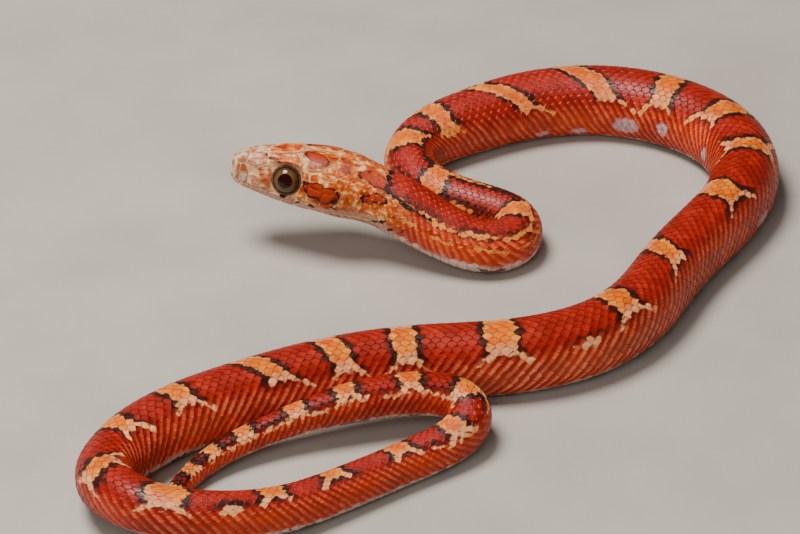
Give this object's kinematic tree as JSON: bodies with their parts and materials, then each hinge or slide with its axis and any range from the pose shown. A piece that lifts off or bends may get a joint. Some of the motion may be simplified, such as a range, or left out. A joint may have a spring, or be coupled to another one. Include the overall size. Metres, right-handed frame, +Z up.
{
  "type": "corn snake",
  "caption": "Life-size young corn snake lying in two loose loops with its head raised, red saddles on an orange back.",
  "frame": {"origin": "on the floor under the middle of the whole animal's box", "axes": "+Z up from the floor, +Y along the longer side of the resting pose, the head pointing towards -X"},
  "size_m": [0.085, 0.1013, 0.0135],
  "materials": {
    "scales": "smooth glossy scales, brick-red saddles edged in black between orange bars",
    "head": "satin head shields, orange-tan with cream edges and red blotches",
    "throat": "satin pale pinkish-white scales",
    "eye": "wet clear surface over an olive-brown iris and round dark pupil"
  },
  "bodies": {
    "root": {"neck_1": "scales", "neck_2": "scales", "neck_3": "scales", "neck_4": "scales", "trunk_1": "scales", "trunk_2": "scales", "trunk_3": "scales", "trunk_4": "scales", "trunk_5": "scales", "trunk_6": "scales", "trunk_7": "scales", "trunk_8": "scales", "trunk_9": "scales", "trunk_10": "scales", "trunk_11": "scales", "trunk_12": "scales", "trunk_13": "scales", "trunk_14": "scales", "trunk_15": "scales", "trunk_16": "scales", "tail_1": "scales", "tail_2": "scales", "tail_3": "scales", "head": "head", "lower_jaw": "throat", "eye_left": "eye", "eye_right": "eye"}
  },
  "joints": []
}
